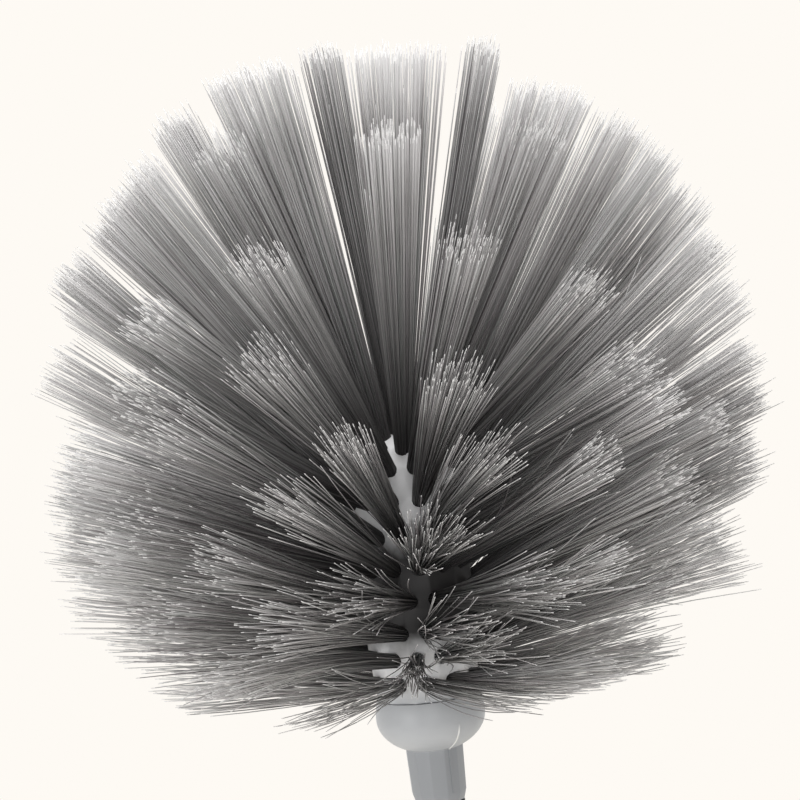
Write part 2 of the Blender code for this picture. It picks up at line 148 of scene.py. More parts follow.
# Softened edges: width, steps and least angle in degrees
core_edge = (0.0007, 2, 8.0)
neck_edge = (0.00035, 2, 20.0)
tip_edge = (0.0007, 3, 50.0)
tube_edge = (0.0002, 2, 50.0)
lock_edge = (0.0002, 2, 40.0)
twist_edge = (0.0003, 2, 28.0)
cap_edge = (0.0005, 3, 45.0)

# Rings of tufts from the lowest up: tufts, tilt, turn share, length, splay, curl, sweep, share of strays and
# fullness, with the angles in degrees
tuft_rings = (
    (12, 84.5, 0.5, 0.078, 8.0, 0.0046, 40.0, 0.08, 0.5),
    (14, 78.0, 0.667, 0.101, 4.8, 0.004, 20.0, 0.05, 0.5),
    (14, 74.5, 0.17, 0.114, 4.8, 0.0034, 8.0, 0.04, 0.58),
    (14, 71.5, 0.667, 0.121, 6.2, 0.0026, 6.0, 0.01, 0.8),
    (14, 69.5, 0.17, 0.1245, 6.4, 0.002, 0.0, 0.01, 0.9),
    (14, 66.5, 0.605, 0.128, 6.2, 0.0014, 0.0, 0.005, 0.95),
    (12, 62.0, 0.0, 0.1298, 5.6, 0.0009, 0.0, 0.0, 1.0),
    (12, 51.5, 0.0, 0.1365, 5.0, 0.0006, 0.0, 0.0, 1.0),
    (10, 36.2, 0.194, 0.141, 4.4, 0.0004, 0.0, 0.0, 1.0),
    (5, 16.0, 0.792, 0.1465, 4.0, 0.0004, 0.0, 0.0, 1.0),
    (1, 0.0, 0.0, 0.148, 3.4, 0.0004, 0.0, 0.0, 1.0),
)
crown_ring = 8
tuft_nodes = [f"tuft_row_{ring + 1}" for ring in range(crown_ring)] + 3 * ["crown_tufts"]
# Tufts that lean, by ring and place in it: where their ends stand on the ball, in degrees from its top and
# from the front round to the right, how far from the middle of the ball, their spread and their shade
ball_centre = 0.118
# Besides each tuft's own grey, the shade holds painted light and shade: crown tufts are paler, tufts facing
# the front darker.
leaning_tufts = {
    0: {7: (142.5, -33, 0.129, 1.9, 0.62), 8: (140.4, 27, 0.1397, 1.5, 0.5)},
    1: {9: (128.4, -3.2, 0.1408, 0.7, 0.3), 10: (122.1, 13.8, 0.1403, 1, 0.35)},
    2: {10: (115.7, 4.7, 0.1458, 1.1, 0.3)},
    3: {9: (110.5, -11.8, 0.14, 1.1, 0.37), 10: (113.9, 23, 0.1385, 1, 0.32)},
    4: {10: (103.5, 5.2, 0.1375, 1.05, 0.38)},
    5: {
        5: (83, -107, 0.1365, 1, 0.58), 6: (75, -86, 0.1345, 1.1, 0.63), 8: (84, -37.5, 0.1385, 1, 0.4),
        9: (89.5, -7.5, 0.1385, 0.58, 0.38), 10: (91.5, 13.5, 0.1385, 0.85, 0.4),
        13: (79, 93, 0.1415, 1, 0.63),
    },
    6: {
        0: (61.5, 104, 0.143, 0.9, 0.68), 5: (67.5, -106, 0.137, 0.9, 0.68),
        6: (59.5, -76, 0.1375, 0.9, 0.53), 8: (76, -20.5, 0.1385, 0.9, 0.4),
        9: (80.3, 8.5, 0.1385, 0.8, 0.35), 10: (83.4, 40, 0.1385, 1, 0.45),
        11: (69, 74, 0.141, 0.9, 0.68),
    },
    7: {
        0: (52.5, 104, 0.144, 0.9, 0.68), 1: (46, 131, 0.1395, 1, 0.63),
        5: (51.9, -106, 0.1375, 0.9, 0.58), 6: (45.7, -76, 0.1345, 0.9, 0.63),
        7: (68, -40.5, 0.1385, 0.8, 0.45), 8: (60.7, -19.8, 0.1385, 0.8, 0.4),
        9: (61, 14.9, 0.1385, 0.8, 0.45), 10: (71, 34, 0.1385, 0.8, 0.4),
        11: (44.5, 74, 0.141, 0.9, 0.63),
    },
    8: {
        0: (38.2, 111, 0.1445, 0.9, 0.78), 1: (38, 140, 0.14, 1.1, 0.73), 3: (34, -141, 0.14, 1, 0.78),
        4: (33.5, -105, 0.143, 0.9, 0.63), 5: (40.5, -69, 0.1375, 0.9, 0.78),
        6: (39.5, -35.5, 0.1385, 0.8, 0.35), 7: (39.5, 5.3, 0.1385, 0.8, 0.73),
        9: (30.3, 75, 0.135, 0.9, 0.73),
    },
    9: {
        0: (12, 167, 0.14, 0.9, 0.83), 1: (23, -105, 0.1435, 0.9, 0.73), 2: (15, -72, 0.1385, 0.9, 0.72),
        3: (15, 37, 0.14, 0.9, 0.78), 4: (20.2, 89, 0.1425, 0.7, 0.46),
    },
    10: {0: (5.5, -90, 0.1412, 0.85, 0.43)},
}
# Use has worn the left side of the ball shorter than the right. On the right it has bent the lowest ring down
# and the next ones up, and these stay gathered, with daylight between their tufts
worn_share = 0.03
bent_shares = {0: -0.12, 1: 0.06, 2: 0.08, 3: 0.08, 4: 0.06}
narrow_rings = (1, 2, 3, 4, 5)
narrow_from = 0.4
narrow_spread = 0.5

# The lowest filaments end above a bowl: its height at the pole, and where its wall starts to rise and how far
bowl_height = 0.003
bowl_start = 0.052
bowl_width = 0.079
bowl_rise = 0.034

# How tufts and their filaments differ by chance
fullness_range = (0.65, 1.15)
flatness_range = (0.8, 1.25)
low_rings = 3
low_shade = 0.62
usual_shade = 0.45
shade_spread = 0.15
dark_share = 0.07
dark_step = 0.35
turn_spread = 0.2
clump_count = 5
clump_reach = 0.75
clump_pull = (0.15, 0.5)
end_spread = 0.06
lean_spread = 0.012
stray_spread = 0.13
stray_length = 0.88
tuft_length_spread = 0.006
length_spread = 0.014
short_share = 0.05
short_range = (0.84, 0.97)
root_depth = 0.0022
lift_range = (0.75, 1.0)
end_width = 0.72
# Low tufts are parted either side of an angle from the front, less and less up to this far from it
parted_at = radians(-5)
parted_reach = radians(32)

# Lamps: place east, north and above the head's widest plane, size and power
lamps = {
    "key_light": (-1.1, -1.15, 0.1, 0.5, 8.2),
    "top_light": (0.15, -0.2, 1.45, 1.0, 17.0),
    "front_light": (0.05, -1.75, 0.16, 0.4, 6.5),
}
lamp_aim = 0.1
soft_light = (1.0, 0.99, 0.975)
dim_strength = 0.3
lit_strength = 1.25

# Camera, and where in the picture its aim lies
camera_down = radians(5.0)
camera_roll = radians(6.5)
camera_distance = 1.2
camera_aim = 0.126
view_width = 0.304
picture_size = 800
aim_in_picture = (393.5, 389.0)
sensor_width = 36.0

# Floor
floor_radius = 2.1
floor_rim = 0.9
floor_drop = 0.0006

head_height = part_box("collar_neck")[1].z - ball_rise
# Radius and height of each ring of facet corners of the core
core_points = [
    (core_radius * radius, head_height + core_height * height)
    for radius, height in zip(ring_radius_shares, ring_height_shares)
]


# Small tools


def mode(name):
    bpy.ops.object.mode_set(mode=name)


def deselect():
    if bpy.context.object and bpy.context.object.mode != "OBJECT":
        mode("OBJECT")
    bpy.ops.object.select_all(action="DESELECT")


def select_only(piece):
    deselect()
    piece.select_set(True)
    bpy.context.view_layer.objects.active = piece


def edit_all():
    """Goes to edit mode and selects all of the piece."""
    mode("EDIT")
    bpy.ops.mesh.select_all(action="SELECT")


def draw(name, outline):
    """A new piece in edit mode: an outline of (radius, height) points, extruded from one corner."""
    deselect()
    bpy.ops.mesh.primitive_circle_add(vertices=3, radius=0.001, location=(0, 0, 0))
    piece = bpy.context.object
    piece.name = piece.data.name = name
    edit_all()
    bpy.ops.mesh.merge(type="CENTER")
    bpy.ops.transform.translate(value=(outline[0][0], 0, outline[0][1]))
    for start, end in zip(outline, outline[1:]):
        step = (end[0] - start[0], 0, end[1] - start[1])
        bpy.ops.mesh.extrude_region_move(TRANSFORM_OT_translate={"value": step})
    edit_all()
    return piece


def arc(middle, radius, start, stop, steps, rise=None):
    """Points of an outline round a middle, between two angles in degrees above the level."""
    rise = rise or radius
    angles = [radians(start + (stop - start) * step / steps) for step in range(steps + 1)]
    return [(middle[0] + radius * cos(angle), middle[1] + rise * sin(angle)) for angle in angles]


def lathe(name, outline, sides, turn=0.0, closed=False):
    """Spins an outline round the pole's axis. A closed one makes a ring or tube."""
    piece = draw(name, outline)
    if closed:
        mode("OBJECT")
        piece.data.edges.add(1)
        piece.data.edges[-1].vertices = (len(outline) - 1, 0)
        edit_all()
    bpy.ops.mesh.spin(steps=sides, angle=2 * pi, center=(0, 0, 0), axis=(0, 0, 1))
    edit_all()
    bpy.ops.mesh.remove_doubles(threshold=0.000005)
    bpy.ops.mesh.normals_make_consistent()
    if turn:
        bpy.ops.transform.rotate(value=-turn, orient_axis="Z", center_override=(0, 0, 0))
    mode("OBJECT")
    return piece


def modify(piece, kind, **settings):
    """Adds a modifier with its settings and applies it."""
    select_only(piece)
    modifier = piece.modifiers.new(kind.title(), kind)
    for name, value in settings.items():
        setattr(modifier, name, value)
    bpy.ops.object.modifier_apply(modifier=modifier.name)
    return piece


def soften(piece, width, segments, angle):
    limits = {"limit_method": "ANGLE", "angle_limit": radians(angle)}
    modify(piece, "BEVEL", width=width, segments=segments, **limits)


def combine(piece, other, operation):
    """Joins or cuts with another closed mesh, which is used up."""
    modify(piece, "BOOLEAN", operation=operation, object=other, solver="EXACT")
    bpy.data.objects.remove(other, do_unlink=True)


def smooth(piece, angle=35.0):
    select_only(piece)
    bpy.ops.object.shade_smooth_by_angle(angle=radians(angle))
    return piece


def coat(piece, finish):
    piece.data.materials.clear()
    piece.data.materials.append(finish)


def finish_piece(piece, finish, slot, body, *nodes):
    """Gives a piece its material and its body, and hides the solids that it stands for. Its slot in the
    record is not used.
    """
    coat(piece, finish)
    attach(piece, body)
    if nodes:
        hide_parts(*nodes)


def add_object(name, data):
    piece = bpy.data.objects.new(name, data)
    bpy.context.scene.collection.objects.link(piece)
    return piece


def form_of(model):
    """Corners and faces of a modelled piece, which is used up."""
    corners = np.array([corner.co for corner in model.data.vertices])
    faces = [tuple(face.vertices) for face in model.data.polygons]
    bpy.data.objects.remove(model, do_unlink=True)
    return corners, faces


def copied(name, points, faces, count):
    """Many copies of one form as one piece: the points of all, and the faces of the first."""
    each = len(points) // count
    mesh = bpy.data.meshes.new(name)
    every = [tuple(index * each + corner for corner in face) for index in range(count) for face in faces]
    mesh.from_pydata(points, [], every)
    return add_object(name, mesh)


def drill(piece, radius, length, sides, places):
    """Cuts the same hole or flute at every place, with copies of one rod."""
    deselect()
    bpy.ops.mesh.primitive_cylinder_add(vertices=sides, radius=radius, depth=length, location=(0, 0, 0))
    corners, faces = form_of(bpy.context.object)
    points = [place @ Vector(corner) for place in places for corner in corners]
    combine(piece, copied("cutters", points, faces, len(places)), "DIFFERENCE")


def crosswise(height, axis):
    """The place of a rod that lies across the pole."""
    return Matrix.Translation((0, 0, height)) @ Matrix.Rotation(pi / 2, 4, axis)


# Shader maths


def maths_with(operation):
    """A method of Value that adds a Math node."""
    return lambda value, other: value.shading.maths(operation, value, other)


class Value:
    """A shader output. Maths with it adds Math nodes to its tree."""

    def __init__(self, shading, socket):
        self.shading = shading
        self.socket = socket

    def output(self, index):
        return Value(self.shading, self.socket.node.outputs[index])

    __add__ = __radd__ = maths_with("ADD")
    __sub__ = maths_with("SUBTRACT")
    __mul__ = maths_with("MULTIPLY")
    __pow__ = maths_with("POWER")
    above = maths_with("GREATER_THAN")


class Shading:
    """The nodes of a material or of the world. New ones are added by node()."""

    def __init__(self, owner):
        owner.use_nodes = True
        self.tree = owner.node_tree

    def connect(self, socket, value):
        if isinstance(value, Value):
            self.tree.links.new(value.socket, socket)
        elif hasattr(value, "__len__") and len(value) == 3 and len(socket.default_value) == 4:
            socket.default_value = (*value, 1.0)
        else:
            socket.default_value = value

    def node(self, kind, sockets=None, output=0, **settings):
        node = self.tree.nodes.new("ShaderNode" + kind)
        for name, value in settings.items():
            setattr(node, name, value)
        for name, value in (sockets or {}).items():
            self.connect(node.inputs[name], value)
        return Value(self, node.outputs[output])

    def maths(self, operation, first, second=0.5):
        return self.node("Math", {0: first, 1: second}, operation=operation)


class Finish(Shading):
    """A material of one principled shader."""

    def __init__(self, name, **constants):
        self.material = bpy.data.materials.new(name)
        super().__init__(self.material)
        self.shader = self.tree.nodes["Principled BSDF"]
        self.feed(**constants)

    def feed(self, **sockets):
        for name, value in sockets.items():
            self.connect(self.shader.inputs[name.replace("_", " ")], value)
        return self.material

    def dress(self, colour, roughness, height, distance, strength):
        """Feeds the shader its colour, its roughness and its bumps."""
        bump = self.node("Bump", {"Height": height, "Distance": distance, "Strength": strength})
        return self.feed(Base_Color=colour, Roughness=roughness, Normal=bump)

    def place(self):
        return self.node("TexCoord", output="Object")

    def scaled(self, scale):
        return self.node("Mapping", {"Vector": self.place(), "Scale": scale})

    def noise(self, scale, detail, where=None):
        return self.node("TexNoise", {"Vector": where or self.place(), "Scale": scale, "Detail": detail})

    def ramp(self, value, low, high, low_shade=0.0, high_shade=1.0):
        shade = self.node("ValToRGB", {"Fac": value})
        stops = shade.socket.node.color_ramp.elements
        for stop, place, grey in zip(stops, (low, high), (low_shade, high_shade)):
            stop.position = place
            stop.color = (grey, grey, grey, 1.0)
        return shade

    def mix(self, share, first, second, blend="MIX"):
        return self.node("Mix", {0: share, 6: first, 7: second}, 2, data_type="RGBA", blend_type=blend)


def kept(maker):
    """Makes each finish once and hands it out again."""
    return cache(lambda *values: maker(bpy.context.scene.broom_colours, *values))


@kept
def filament_finish(colours):
    """Drawn filaments: each its own grey, darkened towards the root by painted shade and paled towards the
    cut end by painted light, less so for darker ones.
    """
    finish = Finish("crimped_filament", Roughness=0.38, Specular_IOR_Level=0.45)
    shade = finish.node("SeparateXYZ", {0: finish.node("UVMap", uv_map="strand")})
    along = shade.output(1)
    colour = finish.mix(shade, colours.filament_dark, colours.filament_pale)
    # Painted shade: each filament darkens towards its root.
    colour = finish.mix(finish.ramp(along, 0.0, 0.6), colours.filament_root_shade, colour)
    tint = finish.mix(finish.maths("FRACT", shade * 37.0), colours.filament_warm, colours.filament_cool)
    colour = finish.mix(1.0, colour, tint, "MULTIPLY")
    # Painted light: each filament pales towards its end, less so where its grey is darker.
    colour = finish.mix(along ** 1.7 * (shade * 0.85 + 0.04), colour, colours.filament_tip_light)
    colour = finish.mix(along.above(0.985) * 0.6, colour, colours.filament_cut)
    return finish.feed(Base_Color=colour)


@kept
def pale_moulding(colours, painted_shade_below=0.0):
    """Pale grey plastic. Below a height it is darkened by painted shade, and a painted highlight marks the
    parting ridge above that.
    """
    finish = Finish("neck_moulding" if painted_shade_below else "pale_moulding", Specular_IOR_Level=0.4)
    flow = finish.noise(26.0, 3.0, finish.scaled((1.0, 1.0, 0.22)))
    speck = finish.ramp(finish.noise(900.0, 2.0), 0.63, 0.72)
    colour = finish.mix(finish.ramp(flow, 0.38, 0.66), colours.pale_plastic, colours.pale_plastic_shade)
    colour = finish.mix(speck * 0.08, colour, colours.dust)
    if painted_shade_below:
        east = finish.node("SeparateXYZ", {0: finish.place()})
        north, height = east.output(1), east.output(2)
        # Painted shade: below the given height the neck turns a darker grey.
        neck_shade_mask = finish.ramp((height - painted_shade_below) * 400.0 + 0.5, 0.3, 0.7, 1.0, 0.0)
        colour = finish.mix(neck_shade_mask, colour, colours.painted_neck_shade)
        # Painted highlight: a pale line along the parting ridge, below the collar's widest plane and above
        # the painted shade.
        aside = finish.maths("ABSOLUTE", east * sin(ridge_turn) + north * cos(ridge_turn))
        ridge = finish.ramp(aside * 1000.0, 0.2, 0.45, 1.0, 0.0)
        ridge = ridge * (east * cos(ridge_turn) - north * sin(ridge_turn)).above(0.0)
        low = finish.ramp((height - head_height) * 200.0 + 1.0, 0.2, 0.7, 1.0, 0.0)
        colour = finish.mix((ridge - ridge * neck_shade_mask) * low * 0.8, colour, colours.white_plastic)
    return finish.dress(colour, 0.36 + flow * 0.12, finish.noise(1500.0, 2.0), 0.00003, 0.35)


@kept
def core_finish(colours):
    """Moulded plastic of the core: the collar's pale plastic at its foot, painted much whiter above as
    painted light, and a dark band of painted shade between the middle rows of tufts.
    """
    finish = Finish("core_moulding", Specular_IOR_Level=0.35)
    height = finish.node("SeparateXYZ", {0: finish.place()}, output=2)
    height = (height - head_height) * (1 / core_height)
    patch = finish.noise(110.0, 4.0)
    spread = height + patch * 0.1 - 0.05
    # Painted shade: a dark band round the core between the middle rows of tufts, its edges broken by noise.
    shade_band = finish.ramp(spread, 0.25, 0.33) * finish.ramp(spread, 0.6, 0.7, 1.0, 0.0)
    flow = finish.noise(26.0, 3.0, finish.scaled((1.0, 1.0, 0.22)))
    # Painted light: above its foot the core turns from the collar's pale plastic to a much whiter grey.
    colour = finish.mix(finish.ramp(height, 0.09, 0.17), colours.pale_plastic, colours.lit_core_plastic)
    colour = finish.mix(flow * 0.3, colour, colours.pale_plastic_shade)
    colour = finish.mix(shade_band * 0.98, colour, colours.core_painted_shade)
    return finish.dress(colour, 0.4 + patch * 0.15, finish.noise(1500.0, 2.0), 0.00003, 0.35)


@kept
def white_moulding(colours):
    """White moulded plastic of the wedge rings, with a fine grain."""
    finish = Finish("white_moulding")
    grain = finish.noise(700.0, 2.0)
    colour = finish.mix(grain, colours.white_plastic, colours.pale_plastic)
    return finish.dress(colour, 0.34 + grain * 0.12, grain, 0.00003, 0.4)


@kept
def dark_moulding(colours):
    """Charcoal moulded plastic with a spark-eroded grain and rubbed lighter patches."""
    finish = Finish("dark_moulding")
    grain = finish.noise(1400.0, 2.0)
    rubbed = finish.ramp(finish.noise(60.0, 4.0), 0.52, 0.74)
    colour = finish.mix(rubbed * 0.35, colours.dark_plastic, colours.dark_plastic_rubbed)
    return finish.dress(colour, rubbed * -0.14 + 0.54, grain, 0.00006, 0.6)


@kept
def soft_grip_finish(colours):
    """Foamed rubber with fine open cells and paler scuffs."""
    finish = Finish("soft_grip", Specular_IOR_Level=0.3)
    cells = finish.node("TexVoronoi", {"Vector": finish.place(), "Scale": 1100.0})
    scuff = finish.ramp(finish.noise(45.0, 5.0), 0.5, 0.78)
    colour = finish.mix(scuff * 0.4, colours.soft_grip, colours.soft_grip_worn)
    colour = finish.mix(finish.ramp(cells, 0.1, 0.6) * 0.25, colour, colours.soft_grip_worn)
    return finish.dress(colour, 0.8 + scuff * 0.12, cells, 0.00022, 0.8)


@kept
def painted_tube_finish(colours):
    """Grey powder coat with a faint orange peel and fine rubbed lines along the pole."""
    finish = Finish("painted_tube", Coat_Weight=0.25, Coat_Roughness=0.2)
    peel = finish.noise(420.0, 2.0)
    lines = finish.ramp(finish.noise(90.0, 4.0, finish.scaled((9.0, 9.0, 0.35))), 0.6, 0.78)
    colour = finish.mix(lines * 0.3, colours.tube_paint, colours.tube_paint_rubbed)
    return finish.dress(colour, 0.3 + lines * 0.2, peel, 0.00005, 0.5)


@kept
def bright_tube_finish(colours):
    """Drawn aluminium with long fine lines along the tube."""
    finish = Finish("bright_tube", Metallic=1.0)
    lines = finish.noise(260.0, 4.0, finish.scaled((6.0, 6.0, 0.05)))
    colour = finish.mix(lines, colours.tube_metal, colours.tube_metal_shade)
    return finish.dress(colour, 0.2 + lines * 0.2, lines, 0.00002, 0.5)


@kept
def steel_finish(colours):
    """Plain steel of the rivet, the washer and the screw."""
    finish = Finish("steel", Metallic=1.0)
    stain = finish.noise(300.0, 4.0)
    colour = finish.mix(stain, colours.steel, colours.tube_metal_shade)
    return finish.feed(Base_Color=colour, Roughness=0.24 + stain * 0.2)


# Filaments


def tuft_roots(ring):
    """Root, outward, sideways and crosswise directions, length, spread and shade of each tuft of a ring."""
    count, tilt, turn_share, reach = tuft_rings[ring][:4]
    radius, height = core_points[ring]
    flat = radius * cos(pi / facet_count) if ring < crown_ring else radius
    roots = []
    for tuft in range(count):
        angle = facet_turn + 2 * pi * (tuft + turn_share) / count
        around = Vector((cos(angle), sin(angle), 0))
        tip = radians(tilt)
        out = around * sin(tip) + Vector((0, 0, cos(tip)))
        root = around * flat + Vector((0, 0, height))
        if ring in bent_shares:
            out = (out + Vector((0, 0, bent_shares[ring] * max(out.x, 0)))).normalized()
        gathered = narrow_spread if out.x > narrow_from and ring in narrow_rings else 1.0
        length, spread, shade = reach * (1 + worn_share * out.x), gathered, None
        if tuft in leaning_tufts.get(ring, ()):
            fall, front, from_middle, spread, shade = leaning_tufts[ring][tuft]
            fall, front = radians(fall), radians(front)
            end = Vector((sin(fall) * sin(front), -sin(fall) * cos(front), cos(fall)))
            out = end * from_middle + Vector((0, 0, head_height + ball_centre)) - root
            length = out.length
            out.normalize()
        side = Vector((-sin(angle), cos(angle), 0))
        side = (side - out * out.dot(side)).normalized()
        roots.append((root, out, side, out.cross(side), length, spread, shade))
    return roots


def filament_form(sides, steps):
    """One filament of unit radius and length, modelled once: its corners and faces."""
    deselect()
    bpy.ops.mesh.primitive_circle_add(vertices=sides, radius=1, location=(0, 0, 0))
    model = bpy.context.object
    edit_all()
    for _ in range(steps):
        bpy.ops.mesh.extrude_region_move(TRANSFORM_OT_translate={"value": (0, 0, 1 / steps)})
    bpy.ops.transform.resize(value=(end_width, end_width, 1))
    bpy.ops.mesh.edge_face_add()
    edit_all()
    bpy.ops.mesh.normals_make_consistent()
    mode("OBJECT")
    return form_of(model)


def unit(vectors):
    return vectors / np.linalg.norm(vectors, axis=1)[:, None]


def turned(vectors, angle):
    """The vectors turned about the pole's axis."""
    return vectors @ np.array(((cos(angle), sin(angle), 0), (-sin(angle), cos(angle), 0), (0, 0, 1)))


def parting(out, sweep):
    """Angle by which use has parted a low tuft from the front, to the left or to the right."""
    front = atan2(out[0], -out[1])
    side = 1.0 if front > parted_at else -1.0
    return side * radians(sweep) * exp(-abs(front) / parted_reach)


def tuft_strands(random, root, ring, sizes):
    """Starts, directions, bends, lengths and shades of the filaments of one tuft."""
    splay, curl, sweep, strays, fullness = tuft_rings[ring][4:]
    place, out, side, across = (np.array(part) for part in root[:4])
    reach, spread, tuft_shade = root[4:]
    full = fullness * (random.uniform(*fullness_range) if fullness < 1.0 else 1.0)
    count = round(sizes.filaments_per_tuft * full)
    order = np.arange(count)
    angle = order * pi * (3 - sqrt(5)) + random.normal(0, turn_spread, count)
    share = ((order + 0.5) / count) ** 0.5
    spot = np.stack([share * np.cos(angle), share * np.sin(angle)], 1)
    clumps = random.uniform(-clump_reach, clump_reach, (clump_count, 2))
    nearest = ((spot[:, None] - clumps[None]) ** 2).sum(2).argmin(1)
    target = spot + (clumps[nearest] - spot) * random.uniform(*clump_pull, count)[:, None]
    target *= (0.6 + 0.45 * share**3)[:, None]
    target += random.normal(0, end_spread, (count, 2))
    flat = random.uniform(*flatness_range) if tuft_shade is None else flatness_range[1]
    target *= (flat, 1 / flat)
    frame_of_tuft = np.stack([side, across])
    start = place + spot @ frame_of_tuft * sizes.tuft_radius - out * root_depth
    lean = random.normal(0, lean_spread, 2)
    direction = unit(out + (target * tan(radians(splay * spread)) + lean) @ frame_of_tuft)
    turn = parting(out, sweep) if tuft_shade is None else 0.0
    ends = turned(direction, turn) + random.normal(0, curl * 5, (count, 3))
    stray = random.random(count) < strays
    ends[stray] += random.normal(0, stray_spread, (stray.sum(), 3))
    ends = unit(ends)
    direction = unit(turned(direction, turn * 0.35) + random.normal(0, curl * 1.5, (count, 3)))
    length = reach * random.normal(1.0, tuft_length_spread) * random.normal(1.0, length_spread, count)
    short = random.random(count) < short_share
    length[short] *= random.uniform(*short_range, short.sum())
    length[stray] *= stray_length
    wave = random.normal(0, curl, (count, 3)) + random.normal(0, curl * 0.6, 3)
    bends = (ends - direction) * length[:, None] + wave
    tip = start + direction * length[:, None] + bends
    wall = np.clip((np.hypot(tip[:, 0], tip[:, 1]) - bowl_start) / bowl_width, 0, None)
    lowest = head_height + bowl_height + bowl_rise * wall**1.3
    bends[:, 2] += np.clip(lowest - tip[:, 2], 0, None) * random.uniform(*lift_range, count)
    if tuft_shade is None:
        tuft_shade = random.normal(low_shade if ring < low_rings else usual_shade, shade_spread)
    shade = random.normal(tuft_shade, shade_spread, count) - dark_step * (random.random(count) < dark_share)
    return start, direction, bends, length, np.clip(shade, 0, 1)


def filament_row(node, sizes):
    """All the filaments of one node as one mesh, each a bent copy of the modelled one."""
    corners, faces = filament_form(4, sizes.filament_steps)
    random = np.random.default_rng(sum(ord(letter) for letter in node))
    tufts = [
        tuft_strands(random, root, ring, sizes)
        for ring, owner in enumerate(tuft_nodes)
        if owner == node
        for root in tuft_roots(ring)
    ]
    start, direction, bend, length, shade = (np.concatenate(part) for part in zip(*tufts))
    helper = np.where(np.abs(direction[:, 2:3]) < 0.9, (0.0, 0.0, 1.0), (1.0, 0.0, 0.0))
    first = unit(np.cross(direction, helper))
    second = np.cross(direction, first)
    along = corners[:, 2]
    line = start[:, None] + direction[:, None] * (length[:, None] * along)[:, :, None]
    line += bend[:, None] * (along**2)[None, :, None]
    reach = first[:, None] * corners[None, :, :1] + second[:, None] * corners[None, :, 1:2]
    points = line + reach * sizes.filament_radius
    count, each = len(start), len(corners)
    piece = copied(node + "_filaments", points.reshape(-1, 3).tolist(), faces, count)
    mesh = piece.data
    loops = np.zeros(len(mesh.loops), np.int32)
    mesh.loops.foreach_get("vertex_index", loops)
    strand = np.stack([np.repeat(shade, each), np.tile(along, count)], 1)[loops]
    mesh.uv_layers.new(name="strand").data.foreach_set("uv", strand.ravel())
    mesh.shade_smooth()
    return piece


# Sizes and colours that a user would change


def measure(name, description, default):
    return bpy.props.FloatProperty(name=name, description=description, default=default, unit="LENGTH")


def swatch(name, description, *default):
    return bpy.props.FloatVectorProperty(
        name=name, description=description, default=default, subtype="COLOR", size=3, min=0, max=1
    )


class BroomSizes(bpy.types.PropertyGroup):
    """Sizes of the filaments and their holes."""

    filaments_per_tuft: bpy.props.IntProperty(
        name="Filaments per tuft", description="How many stand in a full tuft", default=130, min=20, max=150
    )
    filament_steps: bpy.props.IntProperty(
        name="Steps along a filament", description="How finely each is bent", default=5, min=2, max=8
    )
    filament_radius: measure("Filament radius", "Half the thickness of one filament", 0.0002)
    tuft_radius: measure("Tuft radius", "Radius of the bundle where it leaves its hole", 0.0026)
    hole_radius: measure("Hole radius", "Radius of each tuft hole in the core", 0.0029)


class BroomColours(bpy.types.PropertyGroup):
    """Colours of the finishes."""

    # Painted shade: the grey of the filaments at their roots
    filament_root_shade: swatch("Filament root", "Packed filaments at their holes", 0.05, 0.047, 0.048)
    filament_dark: swatch("Darkest filament", "Grey of the darkest filaments", 0.14, 0.135, 0.137)
    filament_pale: swatch("Palest filament", "Grey of the palest filaments", 0.52, 0.512, 0.512)
    filament_warm: swatch("Warm tint", "Tint of the warmer filaments", 1.0, 0.94, 0.96)
    filament_cool: swatch("Cool tint", "Tint of the cooler filaments", 0.94, 0.99, 0.95)
    # Painted light: the paler grey towards the ends of the filaments
    filament_tip_light: swatch("Filament end", "Grey towards their ends", 0.66, 0.65, 0.65)
    filament_cut: swatch("Cut end", "Colour of the cut ends", 0.9, 0.89, 0.88)
    pale_plastic: swatch("Pale plastic", "Collar, twist collars", 0.41, 0.422, 0.44)
    pale_plastic_shade: swatch("Pale plastic, shaded", "Flow marks of it", 0.372, 0.384, 0.4)
    # Painted shade: the darker grey of the neck below its given height
    painted_neck_shade: swatch("Handled plastic", "Where hands turn it", 0.262, 0.273, 0.289)
    # Painted light: the much whiter grey of the core above its foot
    lit_core_plastic: swatch("Core plastic", "Whitish plastic of the core", 0.86, 0.855, 0.86)
    # Painted shade: the dark band between the middle rows of tufts
    core_painted_shade: swatch("Dirt", "Dirt between the tufts", 0.02, 0.018, 0.018)
    # White of the wedge rings, also painted along the parting ridge as its highlight
    white_plastic: swatch("White plastic", "Wedge rings and the pale line of the ridge", 0.78, 0.78, 0.76)
    dark_plastic: swatch("Dark plastic", "Lock bodies, bushes, cap and pole tip", 0.03, 0.032, 0.035)
    dark_plastic_rubbed: swatch("Dark plastic, rubbed", "Worn patches of it", 0.085, 0.085, 0.09)
    dust: swatch("Dust", "Fine specks on the pale plastic", 0.35, 0.34, 0.32)
    soft_grip: swatch("Grip", "Foamed rubber of the grip", 0.018, 0.018, 0.02)
    soft_grip_worn: swatch("Grip, worn", "Scuffs on the grip", 0.07, 0.07, 0.072)
    tube_paint: swatch("Tube paint", "Powder coat of the outer tube", 0.33, 0.34, 0.36)
    tube_paint_rubbed: swatch("Tube paint, rubbed", "Rubbed lines in the coat", 0.45, 0.46, 0.47)
    tube_metal: swatch("Bright tube", "Aluminium of the sliding tubes", 0.75, 0.76, 0.78)
    tube_metal_shade: swatch("Bright tube, shaded", "Drawing lines of it", 0.58, 0.59, 0.61)
    steel: swatch("Steel", "Rivet, screw and washer", 0.6, 0.6, 0.61)
    floor: swatch("Floor", "Colour of the plain floor", 0.86, 0.83, 0.78)
    backdrop: swatch("Backdrop", "Colour round the object", 0.991, 0.956, 0.905)


# Operators


